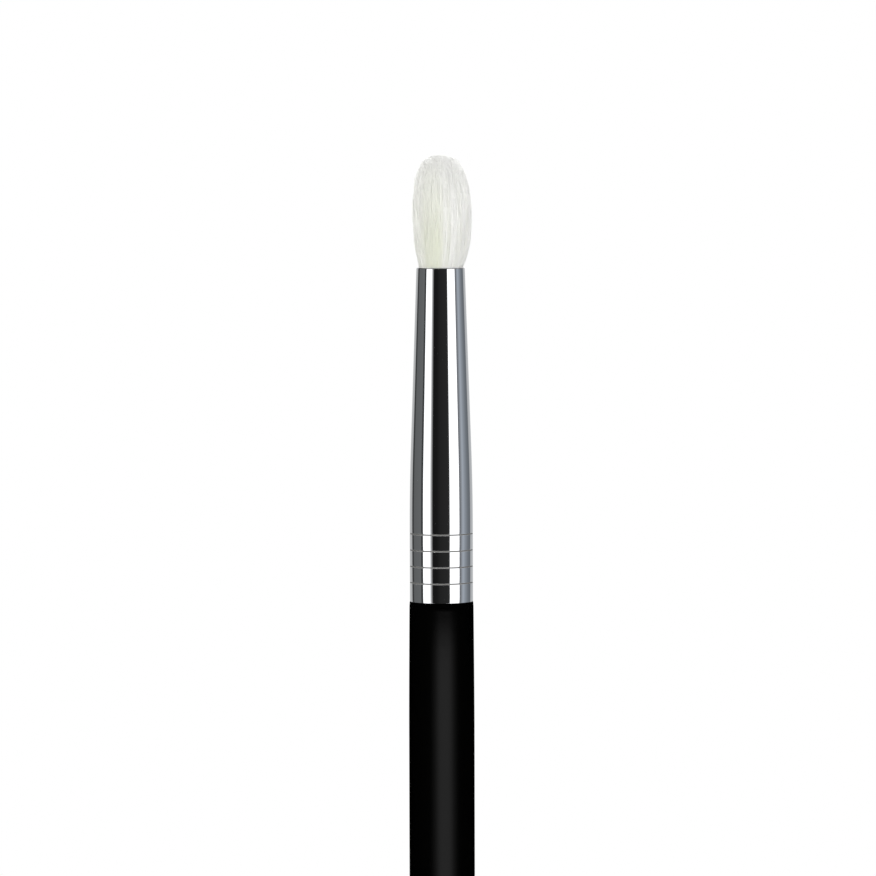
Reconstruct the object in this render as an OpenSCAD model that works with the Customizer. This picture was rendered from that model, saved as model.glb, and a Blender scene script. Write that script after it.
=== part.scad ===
// Eyeshadow brush: a domed goat-hair tuft set in a long plated ferrule on a turned, black-lacquered handle.
// The brush stands along +Z, tail at the origin and hair at the top. All sizes are millimetres.

/* [Overall] */
// Length of the whole brush, from the tail to the tips of the hair
brush_len = 180; // [165:1:200]

/* [Hair] */
// Free length of the hair above the ferrule's mouth
hair_out = 14.0; // [12:0.1:15]
// Diameter of the tuft at its belly
belly_d = 7.3; // [6.8:0.02:7.6]
// Height of the belly above the mouth
belly_up = 6.6; // [5.4:0.1:7]
// Length of hair held inside the ferrule
hair_in = 13; // [11:0.5:14]
// Number of locks of hair in the tuft
strand_count = 320; // [300:10:400]
// How far the locks lean in over the dome: 0 stands straight up, 1 meets at the top
lean_in = 0.8; // [0.5:0.05:0.85]

/* [Ferrule] */
// Length of the ferrule
ferrule_len = 40.9; // [36:0.1:46]
// Outer diameter at the mouth, where the hair comes out
mouth_d = 5.92; // [5.8:0.02:6.2]
// Outer diameter of the straight skirt round the handle
skirt_d = 7.75; // [7.7:0.01:7.8]
// Height of the straight skirt
skirt_len = 8.8; // [8.8:0.1:9.4]
// Height of the slow bend between the skirt and the cone
bend_len = 10; // [6:0.5:12]
// Wall of the drawn tube
wall = 0.3; // [0.28:0.01:0.34]
// Number of scored rings round the skirt
score_count = 4; // [1:1:4]
// Distance from one scored ring to the next
score_pitch = 2.0; // [1.4:0.1:2.0]
// Height of the lowest ring above the ferrule's foot
score_first = 2.35; // [1.6:0.05:2.5]
// Width of a scored ring
score_w = 0.19; // [0.1:0.01:0.24]
// Depth of a scored ring
score_depth = 0.05; // [0.03:0.01:0.1]

/* [Handle] */
// Diameter of the grip, the thickest part of the handle
handle_d = 8.06; // [7.94:0.02:8.4]
// Diameter just under the ferrule
neck_d = 7.87; // [7.8:0.01:7.92]
// Height at which the straight grip begins
grip_from = 85; // [70:1:90]
// Length of the straight grip
grip_len = 25; // [15:1:28]
// Diameter that the tail tapers to
tail_d = 4.8; // [4:0.1:6]
// Height of the rounded end of the tail
tail_round = 2.6; // [1.6:0.1:3.6]
// Length of the tenon inside the ferrule
tenon_len = 12; // [10.5:0.5:13]
// Thickness of the adhesive between tenon and ferrule
glue_gap = 0.1; // [0.08:0.01:0.14]

/* [Hidden] */
$fn = 96;

// heights along the brush
shoulder_z = brush_len - hair_out - ferrule_len;
mouth_z = brush_len - hair_out;
root_z = mouth_z - hair_in;
grip_to = grip_from + grip_len;

// ferrule: a straight skirt, a parabola through the bend, then a straight cone
bend_mid = skirt_len + bend_len / 2;
cone_slope = (skirt_d - mouth_d) / 2 / (ferrule_len - bend_mid);
bend_steps = 8;
bend_heights = [for (i = [0:bend_steps]) skirt_len + bend_len * i / bend_steps];
bore_table = [for (h = concat([0], bend_heights, [ferrule_len])) [h, ferrule_r(h) - wall]];

// handle: power curves for the taper and the neck, and a softened edge under the ferrule
taper_power = 1.8;
taper_steps = 24;
neck_power = 1.5;
neck_steps = 8;
edge_len = 1.0;
edge_drop = 0.09;
edge_steps = 5;
tail_steps = 8;

// tenon: a chamfered nose and rounded grooves that key the adhesive
tenon_r = skirt_d / 2 - wall - glue_gap;
nose_chamfer = 0.6;
key_count = 3;
key_pitch = 2.6;
key_first = 2.4;
key_w = 0.7;
key_depth = 0.22;
glue_from = 0.15;
glue_to = tenon_len - nose_chamfer - 0.3;

// hair inside the ferrule: an end in the resin, a waist under the thread, then packed against the wall
seat = 0.02;
root_r = 2.5;
resin_over = 2.0;
resin_under = 2.6;
binding_turns = 5;
thread_d = 0.34;
thread_pitch = 0.3;
binding_len = thread_d + thread_pitch * (binding_turns - 1);
binding_from = root_z + resin_over;
waist_to = binding_from + binding_len;
flare_len = 1.6;
block_top = mouth_z - 0.2;

// hair outside the ferrule
tuft_root_r = bore_r(mouth_z) - seat;
swell_power = 2.4;
dome_power = 2.45;
dome_round = 2.75;
lock_root = -0.5;
lock_low = 3.0;
lock_high = belly_up + 0.3;
lock_upper_share = 0.62;
lock_fill = 0.72;
outer_share = 0.995;
tip_spread = 0.5;
golden_turn = 137.508;
tip_noise = rands(0, 1, strand_count, 11);

// Outer radius of the ferrule at height h above its foot.
function ferrule_r(h) =
    h <= skirt_len ? skirt_d / 2
    : h >= skirt_len + bend_len ? skirt_d / 2 - cone_slope * (h - bend_mid)
    : skirt_d / 2 - cone_slope * (h - skirt_len) ^ 2 / (2 * bend_len);

// Inner radius of the ferrule at height z of the brush.
function bore_r(z) = lookup(z - shoulder_z, bore_table);

// Radius of the handle at height z of the brush.
function handle_r(z) =
    z < grip_from ? tail_d / 2 + (handle_d - tail_d) / 2 * (1 - (1 - z / grip_from) ^ taper_power)
    : z <= grip_to ? handle_d / 2
    : handle_d / 2 - (handle_d - neck_d) / 2 * ((z - grip_to) / (shoulder_z - grip_to)) ^ neck_power;

// How far height h lies between the belly and the top of the dome, 0 to 1.
function dome_share(h) = (h - belly_up) / (hair_out - belly_up);

// Radius of the outermost flow line at height h above the mouth: it swells to the belly, then leans in.
function flow_r(h) =
    h <= 0 ? tuft_root_r
    : h <= belly_up ? belly_d / 2 - (belly_d / 2 - tuft_root_r) * (1 - h / belly_up) ^ swell_power
    : belly_d / 2 * (1 - lean_in * dome_share(h) ^ dome_power) ^ (1 / dome_round);

// Height at which the flow line of share s meets the dome, which is a flow line with a lean of 1.
function tip_height(s) =
    let (met = s ^ dome_round)
    belly_up + (hair_out - belly_up) * ((1 - met) / (1 - lean_in * met)) ^ (1 / dome_power);

// Half-width of a lock at height h: a fixed share of the spacing there.
function lock_r(h) = lock_fill * flow_r(h) / sqrt(strand_count);

// The three corners of a lock at height h, on flow line share s at angle a.
function lock_ring(s, a, h, r) = [
    for (corner = [0:2])
        [
            s * (flow_r(h) - lock_r(h)) * cos(a) + r * cos(2 * a + 120 * corner),
            s * (flow_r(h) - lock_r(h)) * sin(a) + r * sin(2 * a + 120 * corner),
            mouth_z + h
        ]
];

// All 13 points of lock i: four rings of three corners and the tip.
function lock_points(i) =
    let (
        s = outer_share * sqrt((i + 0.5) / strand_count),
        a = golden_turn * i,
        tip = tip_height(s) - tip_spread * tip_noise[i] * s,
        upper = lock_high + (tip - lock_high) * lock_upper_share
    )
    concat(
        lock_ring(s, a, lock_root, lock_r(lock_root)),
        lock_ring(s, a, lock_low, lock_r(lock_low)),
        lock_ring(s, a, lock_high, lock_r(lock_high)),
        lock_ring(s, a, upper, 0.72 * lock_r(upper)),
        [[
            s * (flow_r(tip) - lock_r(tip)) * cos(a),
            s * (flow_r(tip) - lock_r(tip)) * sin(a),
            mouth_z + tip
        ]]
    );

// The faces of the lock whose points start at index p.
function lock_faces(p) = concat(
    [[p, p + 1, p + 2]],
    [for (ring = [0:2], c = [0:2]) let (a = p + 3 * ring, d = (c + 1) % 3) [a + c, a + c + 3, a + d + 3]],
    [for (ring = [0:2], c = [0:2]) let (a = p + 3 * ring, d = (c + 1) % 3) [a + c, a + d + 3, a + d]],
    [for (c = [0:2]) [p + 9 + c, p + 12, p + 9 + (c + 1) % 3]]
);
points_per_lock = 13;

// Points of one scored ring, a V cut into a wall of radius r at height h.
function score_points(r, h) = [[r, h - score_w / 2], [r - score_depth, h], [r, h + score_w / 2]];

// Points of one rounded key groove in a tenon of radius r at height h.
function key_points(r, h) = [for (a = [-90:30:90]) [r - key_depth * cos(a), h + key_w / 2 * sin(a)]];

// The tenon's side from its root to its nose, shared by the handle and the adhesive.
function tenon_side(from, to) = concat(
    [[tenon_r, from]],
    [for (i = [0:key_count - 1]) each key_points(tenon_r, key_first + key_pitch * i)],
    [[tenon_r, to]]
);

// Lifts a list of [radius, height] points by z.
function lift(points, z) = [for (p = points) [p.x, p.y + z]];

// Turned wooden handle with its tenon, lacquered black.
module handle() {
    tail = [for (i = [0:tail_steps - 1]) let (a = 90 * i / tail_steps, z = tail_round * (1 - cos(a)))
        [handle_r(z) * sin(a), z]];
    taper = [for (i = [0:taper_steps]) let (z = tail_round + (grip_from - tail_round) * i / taper_steps)
        [handle_r(z), z]];
    neck = [for (i = [0:neck_steps])
        let (z = grip_to + (shoulder_z - edge_len - grip_to) * i / neck_steps) [handle_r(z), z]];
    edge = [for (i = [1:edge_steps]) let (a = 90 * i / edge_steps)
        [handle_r(shoulder_z - edge_len) - edge_drop * (1 - cos(a)), shoulder_z - edge_len * (1 - sin(a))]];
    tenon = lift(tenon_side(0, tenon_len - nose_chamfer), shoulder_z);
    nose = [[tenon_r - nose_chamfer, shoulder_z + tenon_len], [0, shoulder_z + tenon_len]];
    color("#141414")
        rotate_extrude()
            polygon(concat(tail, taper, neck, edge, tenon, nose));
}

// Drawn and plated tube: straight skirt with scored rings, slow bend, long cone and a rolled lip.
module ferrule() {
    skirt = concat(
        [[ferrule_r(0), 0]],
        [for (i = [0:score_count - 1]) each score_points(skirt_d / 2, score_first + score_pitch * i)]
    );
    lip = [for (a = [0:30:180])
        [mouth_d / 2 - wall / 2 + wall / 2 * cos(a), ferrule_len - wall / 2 + wall / 2 * sin(a)]];
    outside = [for (h = bend_heights) [ferrule_r(h), h]];
    inside = [for (i = [bend_steps + 1:-1:0]) [bore_table[i][1], bore_table[i][0]]];
    color("silver")
        translate([0, 0, shoulder_z])
            rotate_extrude()
                polygon(concat(skirt, outside, lip, inside));
}

// Adhesive that fills the gap and the key grooves between the tenon and the ferrule.
module ferrule_glue() {
    bends_met = [for (i = [bend_steps:-1:0]) if (bend_heights[i] < glue_to) bend_heights[i]];
    bore = [for (h = concat([glue_to], bends_met, [glue_from])) [lookup(h, bore_table), h]];
    color("#c8b890")
        translate([0, 0, shoulder_z])
            rotate_extrude()
                polygon(concat(tenon_side(glue_from, glue_to), bore));
}

// Hair: the packed end inside the ferrule, and the locks that swell and close into the dome.
module hair_bundle() {
    color("#ece9df")
        union() {
            hair_root();
            hair_locks();
        }
}

// The packed hair inside the ferrule.
module hair_root() {
    rotate_extrude()
        polygon([
            [0, root_z],
            [root_r, root_z],
            [root_r, waist_to],
            [bore_r(waist_to + flare_len) - seat, waist_to + flare_len],
            [bore_r(block_top) - seat, block_top],
            [0, block_top]
        ]);
}

// The locks above the mouth, laid out as a sunflower head so that no two of them cross.
module hair_locks() {
    polyhedron(
        points = [for (i = [0:strand_count - 1]) each lock_points(i)],
        faces = [for (i = [0:strand_count - 1]) each lock_faces(points_per_lock * i)]
    );
}

// Thread whipped round the hair's waist: side-by-side turns as one ribbed band.
module root_binding() {
    color("#d9c9a3")
        translate([0, 0, binding_from + thread_d / 2])
            rotate_extrude()
                for (i = [0:binding_turns - 1])
                    translate([root_r + thread_d / 2, thread_pitch * i])
                        circle(d = thread_d, $fn = 32);
}

// Cast resin that locks the root end in the ferrule's taper.
module resin_plug() {
    dish_depth = 0.8;
    dish_steps = 6;
    foot = root_z - resin_under;
    dish = [for (i = [0:dish_steps]) let (u = i / dish_steps)
        [bore_r(foot) * u, foot + dish_depth * (1 - u ^ 2)]];
    color("#c9a35a")
        rotate_extrude()
            polygon(concat(
                dish,
                [[bore_r(binding_from), binding_from], [root_r, binding_from], [root_r, root_z], [0, root_z]]
            ));
}

handle();
ferrule();
ferrule_glue();
hair_bundle();
root_binding();
resin_plug();
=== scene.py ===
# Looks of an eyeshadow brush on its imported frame: hair, ferrule, handle, hidden bonds and a plain studio.
import math

import bpy
import numpy as np
from bpy.props import FloatProperty, FloatVectorProperty, IntProperty, PointerProperty
from bpy.types import Operator, Panel, PropertyGroup
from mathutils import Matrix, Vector


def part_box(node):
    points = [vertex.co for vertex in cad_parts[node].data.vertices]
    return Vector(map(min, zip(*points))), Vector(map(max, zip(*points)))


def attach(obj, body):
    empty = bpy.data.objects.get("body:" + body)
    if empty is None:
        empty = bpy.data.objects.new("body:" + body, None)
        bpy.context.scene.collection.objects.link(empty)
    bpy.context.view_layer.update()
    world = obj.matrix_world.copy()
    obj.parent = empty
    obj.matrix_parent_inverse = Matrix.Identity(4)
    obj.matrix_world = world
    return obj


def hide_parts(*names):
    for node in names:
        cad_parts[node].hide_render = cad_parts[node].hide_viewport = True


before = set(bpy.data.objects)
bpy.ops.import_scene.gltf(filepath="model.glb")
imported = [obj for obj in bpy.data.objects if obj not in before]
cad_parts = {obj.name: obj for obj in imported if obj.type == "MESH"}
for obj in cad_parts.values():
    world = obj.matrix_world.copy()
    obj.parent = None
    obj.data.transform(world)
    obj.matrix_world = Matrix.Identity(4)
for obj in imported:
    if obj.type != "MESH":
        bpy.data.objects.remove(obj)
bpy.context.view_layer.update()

bl_info = {
    "name": "Eyeshadow Brush",
    "version": (1, 0, 0),
    "blender": (4, 5, 0),
    "location": "3D View > Sidebar > Brush",
    "description": "Builds the hair, ferrule, handle and studio of an eyeshadow brush",
    "category": "Add Mesh",
}

MM = 0.001
SEED = 20
FULL_TURN = 2 * math.pi
GOLDEN_TURN = math.pi * (3 - math.sqrt(5))

# Heights and radii that the frame gives, in metres.
SHOULDER_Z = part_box("ferrule")[0].z
MOUTH_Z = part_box("ferrule")[1].z
SKIRT_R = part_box("ferrule")[1].x
GRIP_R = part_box("handle")[1].x
NOSE_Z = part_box("handle")[1].z
ROOT_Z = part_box("hair_bundle")[0].z
TIP_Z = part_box("hair_bundle")[1].z
BINDING_LOW, BINDING_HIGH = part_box("root_binding")
FERRULE_LEN = MOUTH_Z - SHOULDER_Z


def linear(hex_colour):
    """An sRGB hex colour as linear red, green and blue."""
    parts = [int(hex_colour[i:i + 2], 16) / 255 for i in (1, 3, 5)]
    return tuple(c / 12.92 if c <= 0.04045 else ((c + 0.055) / 1.055) ** 2.4 for c in parts)


def length(name, description, millimetres):
    """A length property whose default is given in millimetres."""
    return FloatProperty(
        name=name, description=description, default=millimetres * MM, unit="LENGTH", precision=6
    )


def colour(name, description, hex_colour):
    """A colour property whose default is given as an sRGB hex value."""
    return FloatVectorProperty(
        name=name, description=description, default=linear(hex_colour), subtype="COLOR", size=3,
        min=0, max=1,
    )


def fraction(name, description, value, most=1):
    """A property for a share of something, from 0 to most."""
    return FloatProperty(
        name=name, description=description, default=value, min=0, max=most, subtype="FACTOR"
    )


def brightness(name, description, value):
    """A property for a level of light, at which 1 shows a colour as it is written."""
    return FloatProperty(name=name, description=description, default=value, min=0)


class HairSettings(PropertyGroup):
    """Sizes and colours of the tuft."""

    count: IntProperty(
        name="Hairs", description="Number of hairs in the tuft", default=7200, min=500, max=8000
    )
    thickness: length("Thickness", "Thickness of one hair at its middle", 0.078)
    belly_r: length("Belly radius", "Radius of the tuft at its widest", 3.62)
    belly_up: length("Belly height", "Height of the widest place above the mouth", 6.6)
    bound_r: length("Bound radius", "Radius of the hair under the thread", 2.5)
    play: length("Play", "Gap between the outermost hair and the bore", 0.02)
    sway: length("Sway", "How far the lower half of the tuft sways to its right", 0.23)
    lean: fraction("Lean", "How far the hairs lean in over the dome", 0.8, most=0.9)
    gather: fraction("Gather", "How far hairs draw together into locks", 0.05)
    glow: fraction("Glow", "Share of the light that goes through a hair", 0.74)
    # Cream is partly the hair's own random tone and partly a painted warm light cast on the front left of
    # the tuft.
    cream: colour("Cream", "Colour of the creamier hairs at the front left", "#f8f9f2")
    white: colour("White", "Colour of the whiter hairs", "#fdfdfc")
    # The tip colour is painted shade: it greys the hairs towards the crown.
    tip: colour("Tip", "Colour of the thin tips", "#f9f9f8")


class FerruleSettings(PropertyGroup):
    """Sizes and colours of the metal tube."""

    mouth_r: length("Mouth radius", "Outer radius at the mouth", 2.96)
    wall: length("Wall", "Thickness of the drawn tube", 0.3)
    skirt_len: length("Skirt", "Height of the straight skirt round the handle", 8.8)
    bend_len: length("Bend", "Height of the slow bend above the skirt", 10)
    score_count: IntProperty(name="Rings", description="Number of scored rings", default=4, min=0, max=4)
    score_first: length("First ring", "Height of the lowest ring above the foot", 2.35)
    score_pitch: length("Ring spacing", "Distance from one ring to the next", 2.0)
    score_w: length("Ring width", "Width of a scored ring", 0.19)
    score_depth: length("Ring depth", "Depth of a scored ring", 0.04)
    plating: colour("Plating", "Colour that the polished chrome reflects", "#e6e7e9")
    # Painted shade: this colour darkens the scored rings' hollows. The rings' dullness and roughness are the
    # metal's own.
    score_shade: colour("Scored metal", "Colour of the dull metal inside a scored ring", "#4f4e4c")


class HandleSettings(PropertyGroup):
    """Sizes and colours of the turned handle."""

    tail_r: length("Tail radius", "Radius that the tail tapers to", 2.4)
    tail_round: length("Tail rounding", "Height of the rounded end", 2.6)
    grip_from: length("Grip start", "Height at which the straight grip begins", 85)
    grip_len: length("Grip length", "Length of the straight grip", 25)
    neck_r: length("Neck radius", "Radius just under the ferrule", 3.935)
    edge_len: length("Edge height", "Height of the softened edge under the ferrule", 1.0)
    edge_drop: length("Edge drop", "How far the softened edge draws in", 0.09)
    tenon_r: length("Tenon radius", "Radius of the tenon inside the ferrule", 3.475)
    lacquer: colour("Lacquer", "Colour of the black lacquer", "#010101")
    birch: colour("Birch", "Colour of the bare birch on the tenon", "#d9b98c")
    birch_dark: colour("Birch grain", "Colour of the darker grain on the tenon", "#b98f5c")


class BondSettings(PropertyGroup):
    """Sizes and colours of the thread, resin and adhesive inside the ferrule."""

    turns: IntProperty(name="Turns", description="Turns of the binding thread", default=5, min=1, max=9)
    thread_d: length("Thread", "Thickness of the binding thread", 0.34)
    thread: colour("Thread", "Colour of the waxed cotton thread", "#dccaa0")
    resin: colour("Resin", "Colour of the cast resin", "#c08f3e")
    adhesive: colour("Adhesive", "Colour of the set adhesive", "#d8c79c")


class StageSettings(PropertyGroup):
    """The plain studio round the brush."""

    ambient: brightness("Ambient", "Level of the light from all sides", 1.13)
    key_level: brightness("Key", "Level that the left lamp adds", 0.98)
    fill_level: brightness("Fill", "Level that the right lamp adds", 0.75)
    back_level: brightness("Back", "Level that the lamp behind adds", 0.65)
    floor: colour("Floor", "Colour of the plain floor", "#acacab")


class BrushSettings(PropertyGroup):
    """Everything that a user would change on the brush."""

    hair: PointerProperty(type=HairSettings)
    ferrule: PointerProperty(type=FerruleSettings)
    handle: PointerProperty(type=HandleSettings)
    bonds: PointerProperty(type=BondSettings)
    stage: PointerProperty(type=StageSettings)


def smooth_step(x):
    """Rises from 0 to 1 as x goes from 0 to 1, with level ends: three x squared less two x cubed."""
    x = np.clip(x, 0, 1)
    return x * x * (3 - 2 * x)


def add_piece(name, points, faces, material_list, slot=None, attributes=None):
    """A smooth-shaded mesh object from points and lists of faces, with named values on its points."""
    mesh = bpy.data.meshes.new(name)
    mesh.from_pydata(points.tolist(), [], faces)
    mesh.polygons.foreach_set("use_smooth", np.ones(len(mesh.polygons), dtype=bool))
    for key, values in (attributes or {}).items():
        kind = "FLOAT" if values.ndim == 1 else "FLOAT_COLOR"
        field = "value" if values.ndim == 1 else "color"
        mesh.attributes.new(key, kind, "POINT").data.foreach_set(field, values.astype(np.float32).ravel())
    for material in material_list:
        mesh.materials.append(material)
    mesh.update()
    piece = bpy.data.objects.new(name, mesh)
    bpy.context.scene.collection.objects.link(piece)
    if slot:
        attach(piece, "root")
    return piece


def revolve(profile, sides):
    """Points and faces of a profile of radius and height turned once round the Z axis.

    Point i, j stands at radius r[i] and height z[i], turned by j equal parts of a full turn. Ends that lie
    on the axis close with one point and a fan; a profile that stays off the axis closes on itself.
    """
    on_axis = profile[0, 0] < 1e-9
    rows = profile[1:-1] if on_axis else profile
    angle = np.arange(sides) * FULL_TURN / sides
    grid = np.empty((len(rows), sides, 3))
    grid[..., 0] = rows[:, :1] * np.cos(angle)
    grid[..., 1] = rows[:, :1] * np.sin(angle)
    grid[..., 2] = rows[:, 1:]
    low = np.arange(len(rows) - 1 if on_axis else len(rows))[:, None] * sides
    high = (low + sides) % (len(rows) * sides)
    here = np.arange(sides)
    after = (here + 1) % sides
    faces = np.stack([low + here, low + after, high + after, high + here], axis=-1).reshape(-1, 4).tolist()
    points = grid.reshape(-1, 3)
    if on_axis:
        foot, top = len(points), len(points) + 1
        points = np.vstack([points, [[0, 0, profile[0, 1]], [0, 0, profile[-1, 1]]]])
        last = (len(rows) - 1) * sides
        faces += np.stack([after, here, np.full(sides, foot)], axis=-1).tolist()
        faces += np.stack([last + here, last + after, np.full(sides, top)], axis=-1).tolist()
    return points, faces


def sweep(paths, radii, turn, sides):
    """Points and faces of many closed tubes at once.

    Tube n at step k is a level ring of corners round paths[n, k] at distance radii[n, k], turned by
    turn[n, k]. Each ring joins the next, and a flat cap closes either end.
    """
    count, steps = paths.shape[:2]
    angle = turn[..., None] + np.arange(sides) * FULL_TURN / sides
    rings = np.repeat(paths[:, :, None, :], sides, axis=2)
    rings[..., 0] += radii[..., None] * np.cos(angle)
    rings[..., 1] += radii[..., None] * np.sin(angle)
    first = np.arange(count)[:, None, None] * steps * sides
    step = np.arange(steps - 1)[None, :, None] * sides
    here = np.arange(sides)[None, None, :]
    after = (here + 1) % sides
    base = first + step
    quads = np.stack([base + here, base + after, base + sides + after, base + sides + here], axis=-1)
    foot = first[:, :, 0] + np.arange(sides)[::-1]
    top = first[:, :, 0] + (steps - 1) * sides + np.arange(sides)
    return rings.reshape(-1, 3), quads.reshape(-1, 4).tolist() + foot.tolist() + top.tolist()


def add_node(tree, kind, inputs=None, **settings):
    """Adds a node, sets its properties, and gives each named or numbered input a value or a link."""
    node = tree.nodes.new(kind)
    for key, value in settings.items():
        setattr(node, key, value)
    for key, value in (inputs or {}).items():
        if isinstance(value, bpy.types.NodeSocket):
            tree.links.new(value, node.inputs[key])
        else:
            node.inputs[key].default_value = value
    return node


def new_material(name, **values):
    """A material with one Principled shader whose sockets hold the given values, its tree and the shader."""
    material = bpy.data.materials.new(name)
    material.use_nodes = True
    tree = material.node_tree
    tree.nodes.clear()
    shader = add_node(tree, "ShaderNodeBsdfPrincipled", {k.replace("_", " "): v for k, v in values.items()})
    add_node(tree, "ShaderNodeOutputMaterial", {"Surface": shader.outputs[0]})
    return material, tree, shader


def mark(tree, name):
    """The socket that gives the values that a mesh holds on its points under a name."""
    return add_node(tree, "ShaderNodeAttribute", attribute_name=name).outputs["Fac"]


# A Mix node numbers its sockets: 0 is its share, 2 and 3 its numbers, 6 and 7 its colours. Its output 0 is a
# number, and its output 2 a colour.
def mix_numbers(tree, share, first, second):
    """The socket of a number that goes from the first to the second with the share."""
    mix = add_node(tree, "ShaderNodeMix", {0: share, 2: first, 3: second}, data_type="FLOAT")
    return mix.outputs[0]


def mix_colours(tree, share, first, second):
    """The socket of a colour that goes from the first to the second with the share."""
    mix = add_node(tree, "ShaderNodeMix", {0: share, 6: first, 7: second}, data_type="RGBA")
    return mix.outputs[2]


def noise(tree, across, along, detail):
    """The socket of a noise in the piece's own space, in grains of a size across and along the Z axis."""
    place = add_node(tree, "ShaderNodeTexCoord")
    stretched = add_node(
        tree, "ShaderNodeMapping",
        {"Vector": place.outputs["Object"], "Scale": (1 / across, 1 / across, 1 / along)},
    )
    grains = add_node(
        tree, "ShaderNodeTexNoise", {"Vector": stretched.outputs[0], "Scale": 1.0, "Detail": detail}
    )
    return grains.outputs["Fac"]


def roughen(tree, value, least, most):
    """The socket of a roughness that goes from least to most while a noise goes from 0.3 to 0.7."""
    scaled = add_node(
        tree, "ShaderNodeMapRange",
        {"Value": value, "From Min": 0.3, "From Max": 0.7, "To Min": least, "To Max": most},
    )
    return scaled.outputs["Result"]


def bump(tree, shader, value, strength, height):
    """Lets a noise stand out of the shader's surface by a height in metres, at a strength from 0 to 1."""
    relief = add_node(tree, "ShaderNodeBump", {"Height": value, "Strength": strength, "Distance": height})
    tree.links.new(relief.outputs["Normal"], shader.inputs["Normal"])


def goat_hair(hair):
    """Undyed white goat hair: satin fibres that let light through, cream or white, greying towards the tips
    with painted shade.
    """
    material, tree, shader = new_material("undyed_goat_hair", Roughness=0.55, IOR=1.55)
    # The painted shade of the tips begins at this share of a hair's reach.
    tip_shade_from = 0.2
    body = mix_colours(tree, mark(tree, "strand_tone"), (*hair.cream, 1), (*hair.white, 1))
    near_tip = add_node(
        tree, "ShaderNodeMapRange",
        {"Value": mark(tree, "strand_reach"), "From Min": tip_shade_from, "From Max": 1.0},
    )
    blend = mix_colours(tree, near_tip.outputs["Result"], body, (*hair.tip, 1))
    tree.links.new(blend, shader.inputs["Base Color"])
    through = add_node(tree, "ShaderNodeBsdfTranslucent", {"Color": blend})
    both = add_node(tree, "ShaderNodeMixShader", {0: hair.glow, 1: shader.outputs[0], 2: through.outputs[0]})
    tree.links.new(both.outputs[0], tree.nodes["Material Output"].inputs["Surface"])
    return material


def polished_chrome(ferrule):
    """Chrome plate on a drawn brass tube.

    It is buffed to a mirror with a faint lengthwise drag. It is really dull and rough inside its scores, and
    is tinted darker there with painted shade.
    """
    material, tree, shader = new_material("polished_chrome_plate")
    dull_roughness, dull_metallic = 0.5, 0.15
    drag = noise(tree, across=0.25 * MM, along=14 * MM, detail=3.0)
    buffed = roughen(tree, drag, least=0.03, most=0.055)
    score = mark(tree, "score")
    tree.links.new(mix_numbers(tree, score, buffed, dull_roughness), shader.inputs["Roughness"])
    tree.links.new(mix_numbers(tree, score, 1.0, dull_metallic), shader.inputs["Metallic"])
    # Painted shade: the scored rings are tinted darker than the plating, on top of their real dullness.
    tint = mix_colours(tree, score, (*ferrule.plating, 1), (*ferrule.score_shade, 1))
    tree.links.new(tint, shader.inputs["Base Color"])
    return material


def black_lacquer(handle):
    """Black nitrocellulose lacquer over turned birch: deep, glossy, with the faintest orange peel."""
    material, tree, shader = new_material("black_lacquer", Base_Color=(*handle.lacquer, 1), IOR=1.5)
    peel = noise(tree, across=0.9 * MM, along=0.9 * MM, detail=2.0)
    tree.links.new(roughen(tree, peel, least=0.07, most=0.09), shader.inputs["Roughness"])
    bump(tree, shader, peel, strength=0.12, height=0.01 * MM)
    return material


def bare_birch(handle):
    """Bare turned birch on the tenon: pale, dry, with fine lengthwise grain."""
    material, tree, shader = new_material("bare_birch", Roughness=0.62, IOR=1.48)
    grain = noise(tree, across=0.3 * MM, along=5 * MM, detail=4.0)
    tint = mix_colours(tree, grain, (*handle.birch, 1), (*handle.birch_dark, 1))
    tree.links.new(tint, shader.inputs["Base Color"])
    bump(tree, shader, grain, strength=0.3, height=0.02 * MM)
    return material


def mottled(name, base, patch, darker, **values):
    """A cast or spread material whose colour clouds gently, patch by patch, to a darker share of itself."""
    material, tree, shader = new_material(name, **values)
    cloud = noise(tree, across=patch, along=patch, detail=3.0)
    tint = mix_colours(tree, cloud, (*base, 1), (*[c * darker for c in base], 1))
    tree.links.new(tint, shader.inputs["Base Color"])
    bump(tree, shader, cloud, strength=0.2, height=0.02 * MM)
    return material


def ferrule_radius(h, ferrule):
    """Outer radius at height h above the foot: level at the skirt, a parabola at the bend, then a cone."""
    cone_len = FERRULE_LEN - ferrule.skirt_len - ferrule.bend_len / 2
    slope = (SKIRT_R - ferrule.mouth_r) / cone_len
    bend = np.clip(h - ferrule.skirt_len, 0, ferrule.bend_len)
    above = np.maximum(h - ferrule.skirt_len - ferrule.bend_len, 0)
    return SKIRT_R - slope * (bend ** 2 / (2 * ferrule.bend_len) + above)


def score_share(h, ferrule):
    """How deep in a scored ring height h lies, 0 to 1: a cosine-squared dip round each ring's own height."""
    share = np.zeros_like(h)
    for i in range(ferrule.score_count):
        off = (h - ferrule.score_first - ferrule.score_pitch * i) / (ferrule.score_w / 2)
        share = np.maximum(share, np.cos(math.pi / 2 * np.clip(off, -1, 1)) ** 2)
    return share


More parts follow.
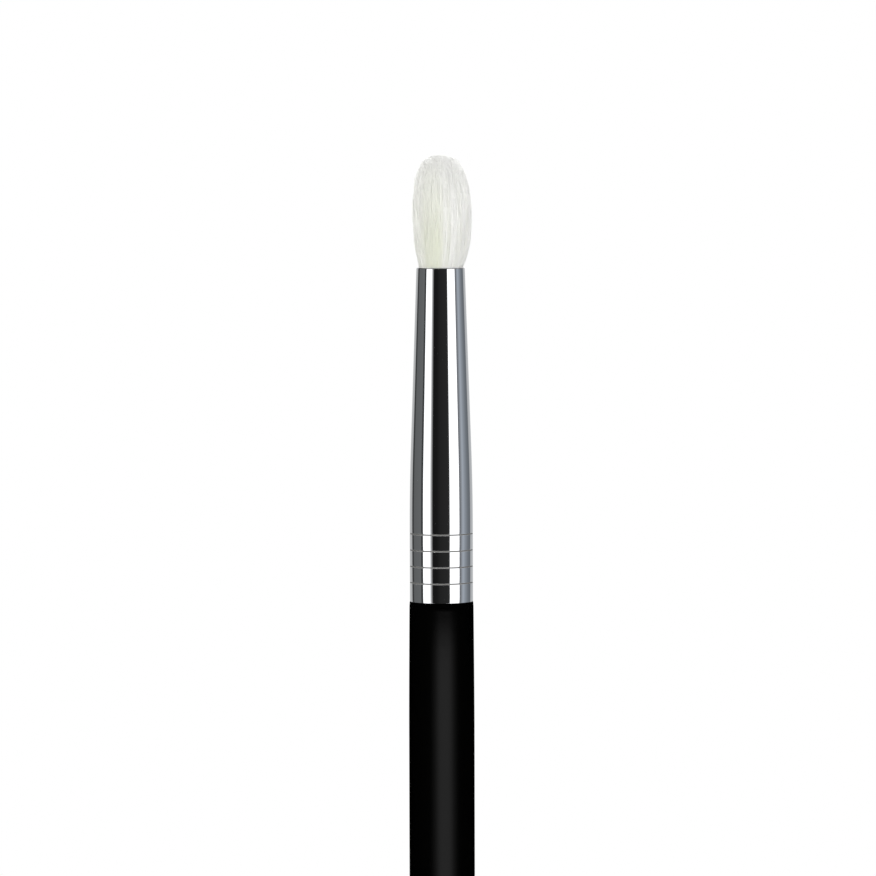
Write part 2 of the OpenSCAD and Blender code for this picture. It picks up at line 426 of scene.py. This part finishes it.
def ferrule_profile(ferrule):
    """Closed outline of the tube's wall, as radius and height above the foot, and each point's score share.

    It goes round a small foot edge, up the outside with its scored rings, over the half-round lip, down the
    bore in rows three times as far apart, and round the other foot edge.
    """
    edge = 0.015 * MM
    lip_r = ferrule.wall / 2
    edge_rows, skirt_rows, bend_rows, cone_rows, ring_rows, lip_rows = 5, 12, 25, 14, 15, 17
    bore_stride = 3
    quarter = np.linspace(0, math.pi / 2, edge_rows)
    rings = [
        ferrule.score_first + ferrule.score_pitch * i + ferrule.score_w / 2 * np.linspace(-1, 1, ring_rows)
        for i in range(ferrule.score_count)
    ]
    outside = np.unique(np.concatenate([
        np.linspace(edge, ferrule.skirt_len, skirt_rows),
        ferrule.skirt_len + np.linspace(0, ferrule.bend_len, bend_rows),
        np.linspace(ferrule.skirt_len + ferrule.bend_len, FERRULE_LEN - lip_r, cone_rows),
        *rings,
    ]))
    inside = outside[::-1][::bore_stride]
    share = score_share(outside, ferrule)
    lip_turn = np.linspace(0, math.pi, lip_rows)[1:-1]
    lip_mid = ferrule_radius(np.array([FERRULE_LEN - lip_r]), ferrule)[0] - lip_r
    parts = [
        np.column_stack([SKIRT_R - edge + edge * np.sin(quarter[:-1]), edge - edge * np.cos(quarter[:-1])]),
        np.column_stack([ferrule_radius(outside, ferrule) - ferrule.score_depth * share, outside]),
        np.column_stack([
            lip_mid + lip_r * np.cos(lip_turn), FERRULE_LEN - lip_r + lip_r * np.sin(lip_turn),
        ]),
        np.column_stack([ferrule_radius(inside, ferrule) - ferrule.wall, inside]),
        np.column_stack([
            SKIRT_R - ferrule.wall + edge - edge * np.cos(quarter[1:]), edge - edge * np.sin(quarter[1:]),
        ]),
    ]
    edge_only = np.zeros(edge_rows - 1)
    shares = np.concatenate([edge_only, share, np.zeros(len(lip_turn) + len(inside)), edge_only])
    return np.vstack(parts), shares


class EYEBRUSH_OT_ferrule(Operator):
    """Spin the drawn, scored and plated tube"""

    bl_idname = "eyebrush.ferrule"
    bl_label = "Ferrule"

    def execute(self, context):
        ferrule = context.scene.eyebrush.ferrule
        sides = 224
        # At this share the scored metal is also fully darkened by the painted shade.
        dull_and_shaded_from = 0.25  # the share of a score's depth at which its metal is fully dull
        profile, shares = ferrule_profile(ferrule)
        profile[:, 1] += SHOULDER_Z
        points, faces = revolve(profile, sides)
        piece = add_piece(
            "ferrule_tube", points, faces, [polished_chrome(ferrule)], "ferrule_plating",
            {"score": np.repeat(np.minimum(shares / dull_and_shaded_from, 1), sides)},
        )
        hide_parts("ferrule")
        return {"FINISHED"}


def handle_radius(z, handle):
    """Radius at height z: a power curve from the tail, the level grip, and a gentler one up the neck."""
    taper_power, neck_power = 1.8, 1.5
    grip_to = handle.grip_from + handle.grip_len
    taper = handle.tail_r + (GRIP_R - handle.tail_r) * (
        1 - np.clip(1 - z / handle.grip_from, 0, 1) ** taper_power
    )
    neck = np.clip((z - grip_to) / (SHOULDER_Z - grip_to), 0, 1) ** neck_power
    return taper - (GRIP_R - handle.neck_r) * neck


def handle_profile(handle):
    """Outline of the handle from its tail to its nose on the axis, and where in the list the tenon begins.

    An elliptic tail, the taper, the grip, the neck, a softened edge, the shoulder, and the keyed tenon.
    """
    tail_rows, taper_rows, grip_rows, neck_rows, edge_rows, key_rows = 25, 60, 6, 24, 13, 9
    tail_turn = np.linspace(0, math.pi / 2, tail_rows)[:-1]
    tail_z = handle.tail_round * (1 - np.cos(tail_turn))
    body_z = np.concatenate([
        np.linspace(handle.tail_round, handle.grip_from, taper_rows),
        np.linspace(handle.grip_from, handle.grip_from + handle.grip_len, grip_rows)[1:],
        np.linspace(handle.grip_from + handle.grip_len, SHOULDER_Z - handle.edge_len, neck_rows)[1:],
    ])
    edge_turn = np.linspace(0, math.pi / 2, edge_rows)[1:]
    edge_r = handle_radius(np.array([SHOULDER_Z - handle.edge_len]), handle)[0]
    edge = np.column_stack([
        edge_r - handle.edge_drop * (1 - np.cos(edge_turn)),
        SHOULDER_Z - handle.edge_len * (1 - np.sin(edge_turn)),
    ])
    corner, chamfer = 0.02 * MM, 0.6 * MM
    # The grooves that key the adhesive: first height and spacing in mm, then depth and half-width.
    key_count, key_first, key_pitch, key_depth, key_half = 3, 2.4, 2.6, 0.22 * MM, 0.35 * MM
    key_turn = np.linspace(-math.pi / 2, math.pi / 2, key_rows)
    keys = [
        np.column_stack([
            handle.tenon_r - key_depth * np.cos(key_turn),
            SHOULDER_Z + (key_first + key_pitch * i) * MM + key_half * np.sin(key_turn),
        ])
        for i in range(key_count)
    ]
    tenon = np.vstack([
        [[handle.tenon_r + corner, SHOULDER_Z], [handle.tenon_r, SHOULDER_Z + corner]],
        *keys,
        [
            [handle.tenon_r, NOSE_Z - chamfer - corner],
            [handle.tenon_r - corner, NOSE_Z - chamfer + corner],
            [handle.tenon_r - chamfer + corner, NOSE_Z - corner],
            [handle.tenon_r - chamfer - corner, NOSE_Z],
            [0, NOSE_Z],
        ],
    ])
    lacquered = np.vstack([
        np.column_stack([handle_radius(tail_z, handle) * np.sin(tail_turn), tail_z]),
        np.column_stack([handle_radius(body_z, handle), body_z]),
        edge,
        [[edge[-1, 0] - corner, SHOULDER_Z]],
    ])
    return np.vstack([lacquered, tenon]), len(lacquered)


class EYEBRUSH_OT_handle(Operator):
    """Turn the wooden handle and lacquer it"""

    bl_idname = "eyebrush.handle"
    bl_label = "Handle"

    def execute(self, context):
        handle = context.scene.eyebrush.handle
        sides = 160
        profile, tenon_from = handle_profile(handle)
        points, faces = revolve(profile, sides)
        piece = add_piece(
            "turned_handle", points, faces, [black_lacquer(handle), bare_birch(handle)], "handle_lacquer"
        )
        middle = np.empty(len(faces) * 3)
        piece.data.polygons.foreach_get("center", middle)
        middle = middle.reshape(-1, 3)
        slack = 0.001 * MM
        on_tenon = middle[:, 2] > SHOULDER_Z
        on_shoulder = middle[:, 2] > SHOULDER_Z - slack
        under_tenon = np.hypot(middle[:, 0], middle[:, 1]) < profile[tenon_from, 0]
        bare = on_tenon | (on_shoulder & under_tenon)
        piece.data.polygons.foreach_set("material_index", bare.astype(np.int32))
        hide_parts("handle")
        return {"FINISHED"}


# The dome closes as one less the lean times the climbed share to the first, all to one over the second.
DOME_POWER, DOME_ROUND = 1.95, 3.05

LOCK_COUNT = 320


def held_heights(ferrule):
    """Heights of a hair's root, the thread's upper side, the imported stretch's foot and the mouth's lip."""
    waist_top = BINDING_HIGH.z - MOUTH_Z
    flare_len = 1.6 * MM
    return np.array([ROOT_Z - MOUTH_Z, waist_top, waist_top + flare_len, -ferrule.wall / 2])


def bundle_radius(h, hair, ferrule):
    """Radius of the outermost hairs at height h above the mouth.

    Inside the ferrule it runs straight from the thread's waist out to the bore, and up the bore to the lip.
    From there it swells to the belly as one less a power of the height still to go. Above the belly it
    closes as a root of one less the lean times another power of the share of the dome climbed.
    """
    swell_power = 2.4
    held = held_heights(ferrule)
    bore = ferrule_radius(FERRULE_LEN + held[2:], ferrule) - ferrule.wall - hair.play
    inside = np.interp(h, held, [hair.bound_r, hair.bound_r, *bore])
    to_go = np.clip((hair.belly_up - h) / (hair.belly_up - held[3]), 0, 1)
    swell = hair.belly_r - (hair.belly_r - bore[1]) * to_go ** swell_power
    climbed = np.clip((h - hair.belly_up) / (TIP_Z - MOUTH_Z - hair.belly_up), 0, 1)
    dome = hair.belly_r * (1 - hair.lean * climbed ** DOME_POWER) ** (1 / DOME_ROUND)
    return np.where(h <= held[3], inside, np.where(h <= hair.belly_up, swell, dome))


def tip_height(share, hair):
    """Height above the mouth at which a hair on flow line share meets the dome, whose own lean is 1."""
    met = share ** DOME_ROUND
    meets = ((1 - met) / (1 - hair.lean * met)) ** (1 / DOME_POWER)
    return hair.belly_up + (TIP_Z - MOUTH_Z - hair.belly_up) * meets


def sunflower(count):
    """Points spread evenly over the unit disc: radius the root of the rank, each a golden turn on."""
    rank = np.arange(count)
    radius = np.sqrt((rank + 0.5) / count)
    return np.column_stack([radius * np.cos(GOLDEN_TURN * rank), radius * np.sin(GOLDEN_TURN * rank)])


# Heights of a free hair's rings, as shares of its free length.
FREE_STEPS = np.array([0.07, 0.18, 0.3, 0.42, 0.54, 0.66, 0.77, 0.87, 0.95, 1.0])


def plant_hairs(hair, draw):
    """Places of the hairs on the unit disc, how far out they are, places of the locks, and each hair's lock.

    Both stand on jittered sunflower places, and a hair belongs to the nearest lock.
    """
    hair_jitter, lock_jitter = 0.22, 0.3
    ground = sunflower(hair.count) + draw.normal(0, hair_jitter / math.sqrt(hair.count), (hair.count, 2))
    share = np.hypot(ground[:, 0], ground[:, 1])
    ground /= np.maximum(share, 1)[:, None]
    locks = sunflower(LOCK_COUNT) + draw.normal(0, lock_jitter / math.sqrt(LOCK_COUNT), (LOCK_COUNT, 2))
    nearest = np.argmin(((ground[:, None, :] - locks[None]) ** 2).sum(axis=2), axis=1)
    return ground, np.minimum(share, 1), locks, nearest


def wave_hairs(places, h, draw):
    """Adds to each hair a sine of its own length, height and phase, less its value at the mouth.

    It grows by a smooth step from nothing at the mouth.
    """
    count = len(places)
    shortest, longest, wave_height, grown_at = 4, 9, 0.036 * MM, 4 * MM
    grown = smooth_step(h / grown_at)
    wave_len = draw.uniform(shortest, longest, count) * MM
    for axis in range(2):
        height = draw.normal(0, wave_height, count)
        phase = draw.uniform(0, FULL_TURN, count)
        wave = np.sin(FULL_TURN * h / wave_len[:, None] + phase[:, None]) - np.sin(phase)[:, None]
        places[..., axis] += grown * height[:, None] * wave


def stray_hairs(places, rise, draw):
    """Pushes a few hairs to one side each, by a distance that grows with the square of their rise."""
    count = len(places)
    stray_share, least, most = 0.03, 0.05, 0.3
    push = (draw.uniform(size=count) < stray_share) * draw.uniform(least, most, count) * MM
    aim = draw.uniform(0, FULL_TURN, count)
    side = np.column_stack([np.cos(aim), np.sin(aim)])
    places += (push[:, None] * rise ** 2)[..., None] * side[:, None, :]


def hair_radii(h, tip, share, hair, draw):
    """Radius of each ring of each hair, which thins to a blunt tip: thicker and blunter near the heart."""
    point_len, point_power = 2.4 * MM, 0.7
    heart_blunt, blunt_loss = 0.8, 0.3
    heart_girth, girth_loss, girth_spread = 1.3, 0.3, 0.1
    left = (tip[:, None] - h) / point_len
    blunt = heart_blunt - blunt_loss * share[:, None]
    taper = blunt + (1 - blunt) * np.clip(left, 0, 1) ** point_power
    girth = hair.thickness / 2 * draw.uniform(1 - girth_spread, 1 + girth_spread, hair.count)
    girth *= heart_girth - girth_loss * share
    return girth[:, None] * taper


def hair_tones(ground, nearest, hair, draw):
    """Tone of each hair, from 0 for cream to 1 for white: creamiest in a patch at the front left.

    The patch is a painted warm light cast: a bell across, deepening evenly towards the front. The lock and
    hair spreads are the hair's own random tone.
    """
    # The front-left patch is a painted warm light cast.
    patch_x, patch_width, patch_back = -0.37, 0.45, 0.3
    plain_tone, patch_depth = 0.9, 0.8
    lock_spread, hair_spread = 0.12, 0.05
    bell = np.exp(-((ground[:, 0] - patch_x) / patch_width) ** 2)
    front = np.clip(patch_back - ground[:, 1], 0, 1)
    tone = plain_tone - patch_depth * (bell * front)
    tone = tone + draw.normal(0, lock_spread, LOCK_COUNT)[nearest] + draw.normal(0, hair_spread, hair.count)
    return np.clip(tone, 0, 1)


def comb_hair(hair, ferrule, draw):
    """Centre lines, radii, tones and reaches of all hairs, and how far out each one grows.

    A hair starts at its own place on the unit disc, which is scaled by the bundle's radius at each height.
    It draws a little towards its lock as it rises, and ends on the dome less a fixed and a random bit. Waves
    and strays are added, and all hairs sway together by the sine of a power of their height.
    """
    ground, share, locks, nearest = plant_hairs(hair, draw)
    outermost, cut_short, hair_uneven, lock_uneven = 0.995, 0.19 * MM, 0.06 * MM, 0.25 * MM
    tip = tip_height(share * outermost, hair)
    tip -= cut_short + np.abs(draw.normal(0, hair_uneven, hair.count))
    tip -= draw.uniform(0, lock_uneven, LOCK_COUNT)[nearest] * share
    held = held_heights(ferrule)
    h = np.concatenate([np.broadcast_to(held, (hair.count, len(held))), tip[:, None] * FREE_STEPS], axis=1)
    rise = smooth_step(h / tip[:, None])
    own_gather = hair.gather * draw.uniform(0, 2, LOCK_COUNT)[nearest]
    pull = (rise * own_gather[:, None])[..., None]
    disc = ground[:, None, :] * (1 - pull) + locks[nearest][:, None, :] * pull
    radius = bundle_radius(h, hair, ferrule) - hair.thickness / 2
    places = disc * radius[..., None]
    wave_hairs(places, h, draw)
    stray_hairs(places, rise, draw)
    sway_power = 0.6
    climbed = np.clip(h / (TIP_Z - MOUTH_Z), 0, 1)
    places[..., 0] += hair.sway * np.sin(math.pi * climbed ** sway_power)
    paths = np.concatenate([places, (MOUTH_Z + h)[..., None]], axis=2)
    radii = hair_radii(h, tip, share, hair, draw)
    tone = np.broadcast_to(hair_tones(ground, nearest, hair, draw)[:, None], h.shape)
    return paths, radii, tone, climbed, share


class EYEBRUSH_OT_hair(Operator):
    """Comb the tuft out of the ferrule"""

    bl_idname = "eyebrush.hair"
    bl_label = "Hair"

    def execute(self, context):
        hair = context.scene.eyebrush.hair
        draw = np.random.default_rng(SEED)
        # Three pieces by place, because one piece would pass 200,000 triangles.
        names = ("heart_hair", "middle_hair", "outer_hair")
        corners, facing_spread = 3, 0.2
        paths, radii, tone, reach, share = comb_hair(hair, context.scene.eyebrush.ferrule, draw)
        # One flat side of a hair faces outwards, give or take the spread, so that the tuft shades softly.
        facing = np.arctan2(paths[:, 0, 1], paths[:, 0, 0]) + math.pi / corners
        turn = np.broadcast_to((facing + draw.normal(0, facing_spread, hair.count))[:, None], radii.shape)
        material = goat_hair(hair)
        order = np.argsort(share, kind="stable")
        split = [hair.count * part // len(names) for part in range(len(names) + 1)]
        for name, start, stop in zip(names, split, split[1:]):
            own = order[start:stop]
            points, faces = sweep(paths[own], radii[own], turn[own], corners)
            marks = {
                "strand_tone": np.repeat(tone[own].ravel(), corners),
                "strand_reach": np.repeat(reach[own].ravel(), corners),
            }
            piece = add_piece(name, points, faces, [material], "goat_hair", marks)
            sides_only = np.arange(len(faces)) < len(faces) - 2 * len(own)
            piece.data.polygons.foreach_set("use_smooth", sides_only)
            if name == names[-1]:
                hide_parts("hair_bundle")
        return {"FINISHED"}


def wound_thread(bonds):
    """Points, faces and the ply mark of the binding thread, which is 0 in the valleys and 1 on the plies.

    The thread climbs a helix in its turns, half its thickness within the binding's outside. Its section is a
    circle with two shallow lobes, turned along the way, which are its two twisted plies.
    """
    per_turn, sides = 60, 12
    ply_pitch, waist, lobe = 0.9 * MM, 0.93, 0.07
    steps = bonds.turns * per_turn + 1
    half = bonds.thread_d / 2
    coil_r = BINDING_HIGH.x - half
    t = np.arange(steps) / per_turn * FULL_TURN
    rise = (BINDING_HIGH.z - BINDING_LOW.z - bonds.thread_d) / (bonds.turns * FULL_TURN)
    centre = np.column_stack([coil_r * np.cos(t), coil_r * np.sin(t), BINDING_LOW.z + half + rise * t])
    outward = np.column_stack([np.cos(t), np.sin(t), np.zeros(steps)])
    upward = np.array([0.0, 0.0, 1.0])
    around = np.arange(sides) * FULL_TURN / sides
    twist = coil_r * t / ply_pitch * FULL_TURN
    plies = np.cos(2 * (around[None, :] - twist[:, None]))
    size = half * (waist + lobe * plies)
    rings = centre[:, None, :] + size[..., None] * (
        np.cos(around)[None, :, None] * outward[:, None, :] + np.sin(around)[None, :, None] * upward
    )
    low = np.arange(steps - 1)[:, None] * sides
    here = np.arange(sides)
    after = (here + 1) % sides
    faces = np.stack([low + here, low + sides + here, low + sides + after, low + after], axis=-1)
    caps = [list(range(sides)), list(range(steps * sides - 1, (steps - 1) * sides - 1, -1))]
    return rings.reshape(-1, 3), faces.reshape(-1, 4).tolist() + caps, (0.5 + 0.5 * plies).ravel()


def waxed_cotton(bonds):
    """Waxed two-ply cotton thread: a dull cream cord, with painted shade darkening the valleys between the
    plies.
    """
    material, tree, shader = new_material("waxed_cotton", Roughness=0.6, IOR=1.45, Sheen_Weight=0.2)
    # Painted shade: the valleys between the plies take this share of the thread's colour.
    valley_shade = 0.55
    valley = [c * valley_shade for c in bonds.thread]
    tint = mix_colours(tree, mark(tree, "ply"), (*valley, 1), (*bonds.thread, 1))
    tree.links.new(tint, shader.inputs["Base Color"])
    return material


class EYEBRUSH_OT_bonds(Operator):
    """Wind the thread, and dress the resin and adhesive"""

    bl_idname = "eyebrush.bonds"
    bl_label = "Thread, resin and adhesive"

    def execute(self, context):
        bonds = context.scene.eyebrush.bonds
        points, faces, ply = wound_thread(bonds)
        piece = add_piece(
            "whipped_thread", points, faces, [waxed_cotton(bonds)], "binding_thread", {"ply": ply}
        )
        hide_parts("root_binding")
        finishes = {
            "resin_plug": mottled(
                "cast_epoxy", bonds.resin, patch=1.6 * MM, darker=0.75, Roughness=0.12, IOR=1.55
            ),
            "ferrule_glue": mottled(
                "set_adhesive", bonds.adhesive, patch=0.8 * MM, darker=0.82, Roughness=0.5, IOR=1.46
            ),
        }
        for name, material in finishes.items():
            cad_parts[name].material_slots[0].material = material
        return {"FINISHED"}


# Cards of the studio that polished metal mirrors: degrees round the brush from the camera's side, positive
# to its right, the level at either end, and a tint.
MIRROR_CARDS = (
    (-180, -134, 0.62, 0.50, "#fdfefe"),
    (-132, -121, 0.050, 0.058, "#f0f5f5"),
    (-119, -80, 0.150, 0.173, "#eff3f4"),
    (-78, -71, 0.054, 0.054, "#eff3f4"),
    (-69, -43, 1.6, 1.6, "#ffffff"),
    (-40.5, -36.5, 0.95, 0.4, "#ffffff"),
    (-31, -16, 0.0095, 0.0115, "#ffffff"),
    (-4, 14, 0.019, 0.023, "#ffffff"),
    (24, 30.4, 0.024, 0.05, "#ffffff"),
    (31.4, 68.8, 1.6, 1.6, "#ffffff"),
    (69.8, 75, 0.14, 0.25, "#f2f7ff"),
    (86, 98, 0.52, 0.36, "#e9f3ff"),
    (112, 130, 0.235, 0.17, "#eaf4ff"),
    (132.5, 180, 0.5, 0.64, "#fbfdff"),
)

# Radius and height of each row of the ring, in mm. The cards lie in over the floor from the first row to the
# second, and stand up to the third. Above the fourth the ring is as dim as the ceiling.
MIRROR_ROWS = np.array([(2, 0.5), (330, 0.5), (330, 260), (330, 300), (330, 1200)]) * MM
MIRROR_CEILING = 0.12


def mirror_level(azimuth):
    """Red, green and blue of the ring of cards at each azimuth: straight lines between the cards' ends."""
    stops, values = [], []
    for start, stop, at_start, at_stop, tint in MIRROR_CARDS:
        stops += [start, stop]
        values += [np.array(linear(tint)) * at_start, np.array(linear(tint)) * at_stop]
    values = np.array(values)
    return np.column_stack([np.interp(azimuth, stops, values[:, i]) for i in range(3)])


def curtain(rows, azimuth):
    """Points and faces of a sheet round the brush: rows of radius and height, at azimuths in degrees."""
    turn = np.radians(azimuth)
    points = np.empty((len(rows), len(turn), 3))
    points[..., 0] = rows[:, :1] * np.sin(turn)
    points[..., 1] = -rows[:, :1] * np.cos(turn)
    points[..., 2] = rows[:, 1:]
    width = len(turn)
    low = np.arange(len(rows) - 1)[:, None] * width
    here = np.arange(width - 1)
    faces = np.stack([low + here, low + here + 1, low + width + here + 1, low + width + here], axis=-1)
    return points.reshape(-1, 3), faces.reshape(-1, 4).tolist()


def glow_material(name, see_through):
    """Light of the colour that the sheet's own points hold, over a clear sheet if it is see-through."""
    material = bpy.data.materials.new(name)
    material.use_nodes = True
    material.cycles.emission_sampling = "NONE"
    tree = material.node_tree
    tree.nodes.clear()
    glow = add_node(tree, "ShaderNodeAttribute", attribute_name="glow")
    shader = add_node(tree, "ShaderNodeEmission", {"Color": glow.outputs["Color"]})
    if see_through:
        clear = add_node(tree, "ShaderNodeBsdfTransparent")
        shader = add_node(tree, "ShaderNodeAddShader", {0: shader.outputs[0], 1: clear.outputs[0]})
    add_node(tree, "ShaderNodeOutputMaterial", {"Surface": shader.outputs[0]})
    return material


def glowing_sheet(name, points, faces, levels, see_through, handle_sees):
    """A sheet that only shows in reflections: those in the handle, or those in all the other pieces."""
    glow = np.column_stack([levels, np.ones(len(levels))])
    sheet = add_piece(name, points, faces, [glow_material(name, see_through)], attributes={"glow": glow})
    sheet.visible_camera = sheet.visible_diffuse = sheet.visible_shadow = False
    sheet.visible_transmission = sheet.visible_volume_scatter = False
    seen_by = bpy.data.collections.new(name + "_seen_by")
    seen_by.objects.link(bpy.data.objects["turned_handle"])
    if not handle_sees:
        seen_by.collection_objects[0].light_linking.link_state = "EXCLUDE"
    sheet.light_linking.receiver_collection = seen_by


def mirror_studio():
    """The ring of cards and the dim lid on it, which all the pieces but the handle mirror."""
    half_degrees = 720
    azimuth = np.linspace(-180, 180, half_degrees + 1)
    points, faces = curtain(MIRROR_ROWS, azimuth)
    cards = mirror_level(azimuth)
    dim = np.full(cards.shape, MIRROR_CEILING)
    levels = np.vstack([cards, cards, cards, dim, dim])
    glowing_sheet("mirror_ring", points, faces, levels, see_through=False, handle_sees=False)
    half, high = 400 * MM, MIRROR_ROWS[-1, 1]
    lid = np.array([[-half, -half, high], [half, -half, high], [half, half, high], [-half, half, high]])
    dim = np.full(lid.shape, MIRROR_CEILING)
    glowing_sheet("mirror_lid", lid, [[0, 1, 2, 3]], dim, see_through=False, handle_sees=False)


def handle_glow(name, middle, half_width, top, peak):
    """A graded sheet that the lacquer mirrors as one soft highlight.

    It lies in over the floor and stands up to its top, where it fades out. Its level falls off sideways as
    one over one plus the fourth power of the ratio of tangents of half the angle and of half the half-width,
    and over the last part of its reach by a smooth step to nothing.
    """
    radius, fade = 250 * MM, 11 * MM
    columns, fade_rows = 89, 12
    reach_ratio, plain_part = 2.3, 0.6
    reach = reach_ratio * half_width
    azimuth = np.linspace(-reach, reach, columns)
    over_floor = np.array([(8, 1), (40, 1), (radius / MM, 1)]) * MM
    heights = np.linspace(top - fade, top, fade_rows)
    rows = np.vstack([over_floor, np.column_stack([np.full(len(heights), radius), heights])])
    points, faces = curtain(rows, middle + azimuth)
    sideways = 1 / (1 + (np.tan(np.radians(azimuth) / 2) / math.tan(math.radians(half_width) / 2)) ** 4)
    edge = 1 - smooth_step((np.abs(azimuth) - plain_part * reach) / ((1 - plain_part) * reach))
    upward = np.concatenate([[0, 1, 1], 1 - smooth_step((heights - top + fade) / fade)])
    level = peak * np.outer(upward, sideways * edge).ravel()
    levels = np.repeat(level[:, None], 3, axis=1)
    glowing_sheet(name, points, faces, levels, see_through=True, handle_sees=True)


# Lamps: name, place in metres, the setting that holds the level, and a tint. All of them aim at one place.
LAMPS = (
    ("key_lamp", (-0.22, -0.78, 0.52), "key_level", "#fffffa"),
    ("fill_lamp", (0.3, -0.77, 0.42), "fill_level", "#f9f9ff"),
    ("back_lamp", (0.1, 0.75, 0.6), "back_level", "#ffffff"),
)
LAMP_AIM = (0, 0, 150 * MM)
LAMP_SIZE = 0.5


def area_lamp(name, place, level, tint):
    """A soft square lamp that adds level to what faces it at its aim.

    Its power is the level by the square of pi by the square of the distance.
    """
    data = bpy.data.lights.new(name, "AREA")
    data.shape = "SQUARE"
    data.size = LAMP_SIZE
    away = Vector(LAMP_AIM) - Vector(place)
    data.energy = level * math.pi * math.pi * away.length_squared
    data.color = linear(tint)
    lamp = bpy.data.objects.new(name, data)
    lamp.location = place
    lamp.rotation_euler = away.to_track_quat("-Z", "Y").to_euler()
    lamp.visible_camera = lamp.visible_glossy = False
    bpy.context.scene.collection.objects.link(lamp)


def seen_sharply(tree):
    """The socket that is 1 for camera and mirror rays, and 0 for all others."""
    ray = add_node(tree, "ShaderNodeLightPath")
    either = add_node(
        tree, "ShaderNodeMath", {0: ray.outputs["Is Camera Ray"], 1: ray.outputs["Is Glossy Ray"]},
        operation="MAXIMUM",
    )
    return either.outputs[0]


def studio_world(level):
    """A world that is white to camera and mirror rays, and an even ambient level to all others."""
    world = bpy.data.worlds.new("studio")
    world.use_nodes = True
    tree = world.node_tree
    tree.nodes.clear()
    strength = mix_numbers(tree, seen_sharply(tree), level, 1.0)
    sky = add_node(tree, "ShaderNodeBackground", {"Color": (1, 1, 1, 1), "Strength": strength})
    add_node(tree, "ShaderNodeOutputWorld", {"Surface": sky.outputs[0]})
    bpy.context.scene.world = world


def studio_floor(stage):
    """A pale matt floor that holds the brush's shadow near it, and turns plain white a little way off."""
    material, tree, shader = new_material(
        "pale_floor", Base_Color=(*stage.floor, 1), Roughness=0.9, Specular_IOR_Level=0.0
    )
    white_from, white_to, reach = 140 * MM, 420 * MM, 4.0
    place = add_node(tree, "ShaderNodeTexCoord")
    far = add_node(tree, "ShaderNodeVectorMath", {0: place.outputs["Object"]}, operation="LENGTH")
    away = add_node(
        tree, "ShaderNodeMapRange",
        {"Value": far.outputs["Value"], "From Min": white_from, "From Max": white_to},
        interpolation_type="SMOOTHSTEP",
    )
    share = add_node(
        tree, "ShaderNodeMath", {0: away.outputs[0], 1: seen_sharply(tree)}, operation="MULTIPLY"
    )
    plain = add_node(tree, "ShaderNodeEmission", {"Color": (1, 1, 1, 1)})
    both = add_node(
        tree, "ShaderNodeMixShader", {0: share.outputs[0], 1: shader.outputs[0], 2: plain.outputs[0]}
    )
    tree.links.new(both.outputs[0], tree.nodes["Material Output"].inputs["Surface"])
    corners = np.array([[-reach, -reach, 0], [reach, -reach, 0], [reach, reach, 0], [-reach, reach, 0]])
    floor = add_piece("floor", corners, [[0, 1, 2, 3]], [material])


# The camera stands level with the hair and looks slightly down at the height of the picture's middle row.
CAMERA_PLACE = (-0.374 * MM, -515 * MM, 170 * MM)
CAMERA_AIM = (-0.374 * MM, 0, 145.14 * MM)
CAMERA_ROLL = math.radians(-0.157)
CAMERA_LENS = 172.8
CAMERA_SENSOR = 36


def studio_camera(scene):
    """The camera, turned by its roll round the line to its aim."""
    camera = bpy.data.objects.new("camera", bpy.data.cameras.new("camera"))
    camera.data.lens = CAMERA_LENS
    camera.data.sensor_width = CAMERA_SENSOR
    camera.location = CAMERA_PLACE
    ahead = Vector(CAMERA_AIM) - Vector(CAMERA_PLACE)
    camera.rotation_euler = ahead.to_track_quat("-Z", "Y").to_euler()
    camera.rotation_euler.rotate_axis("Z", CAMERA_ROLL)
    scene.collection.objects.link(camera)
    scene.camera = camera


class EYEBRUSH_OT_stage(Operator):
    """Set up the floor, lamps, reflection cards and camera"""

    bl_idname = "eyebrush.stage"
    bl_label = "Stage"

    def execute(self, context):
        stage = context.scene.eyebrush.stage
        studio_world(stage.ambient)
        studio_floor(stage)
        for name, place, setting, tint in LAMPS:
            area_lamp(name, place, getattr(stage, setting), tint)
        mirror_studio()
        handle_glow("front_glow", middle=10, half_width=28, top=108 * MM, peak=0.44)
        handle_glow("back_glow", middle=180, half_width=9, top=108 * MM, peak=0.6)
        studio_camera(context.scene)
        context.scene.view_settings.view_transform = "Standard"
        return {"FINISHED"}


class EYEBRUSH_PT_panel(Panel):
    """Lists the pieces of the brush and their settings"""

    bl_idname = "EYEBRUSH_PT_panel"
    bl_label = "Eyeshadow Brush"
    bl_space_type = "VIEW_3D"
    bl_region_type = "UI"
    bl_category = "Brush"

    def draw(self, context):
        settings = context.scene.eyebrush
        for part, operator in PARTS:
            box = self.layout.box()
            box.operator(operator.bl_idname)
            group = getattr(settings, part)
            for key in group.__annotations__:
                box.prop(group, key)


# Settings and operator of each part, in the order in which they are made.
PARTS = (
    ("handle", EYEBRUSH_OT_handle),
    ("ferrule", EYEBRUSH_OT_ferrule),
    ("hair", EYEBRUSH_OT_hair),
    ("bonds", EYEBRUSH_OT_bonds),
    ("stage", EYEBRUSH_OT_stage),
)
CLASSES = (
    HairSettings, FerruleSettings, HandleSettings, BondSettings, StageSettings, BrushSettings,
    *(operator for part, operator in PARTS), EYEBRUSH_PT_panel,
)


def register():
    """Registers every class and hangs the settings on the scene."""
    for cls in CLASSES:
        bpy.utils.register_class(cls)
    bpy.types.Scene.eyebrush = PointerProperty(type=BrushSettings)


def unregister():
    """Takes the settings and classes away again."""
    del bpy.types.Scene.eyebrush
    for cls in reversed(CLASSES):
        bpy.utils.unregister_class(cls)


def main():
    """Registers the classes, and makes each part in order."""
    register()
    for part, operator in PARTS:
        group, name = operator.bl_idname.split(".")
        getattr(getattr(bpy.ops, group), name)()


if __name__ == "__main__":
    main()
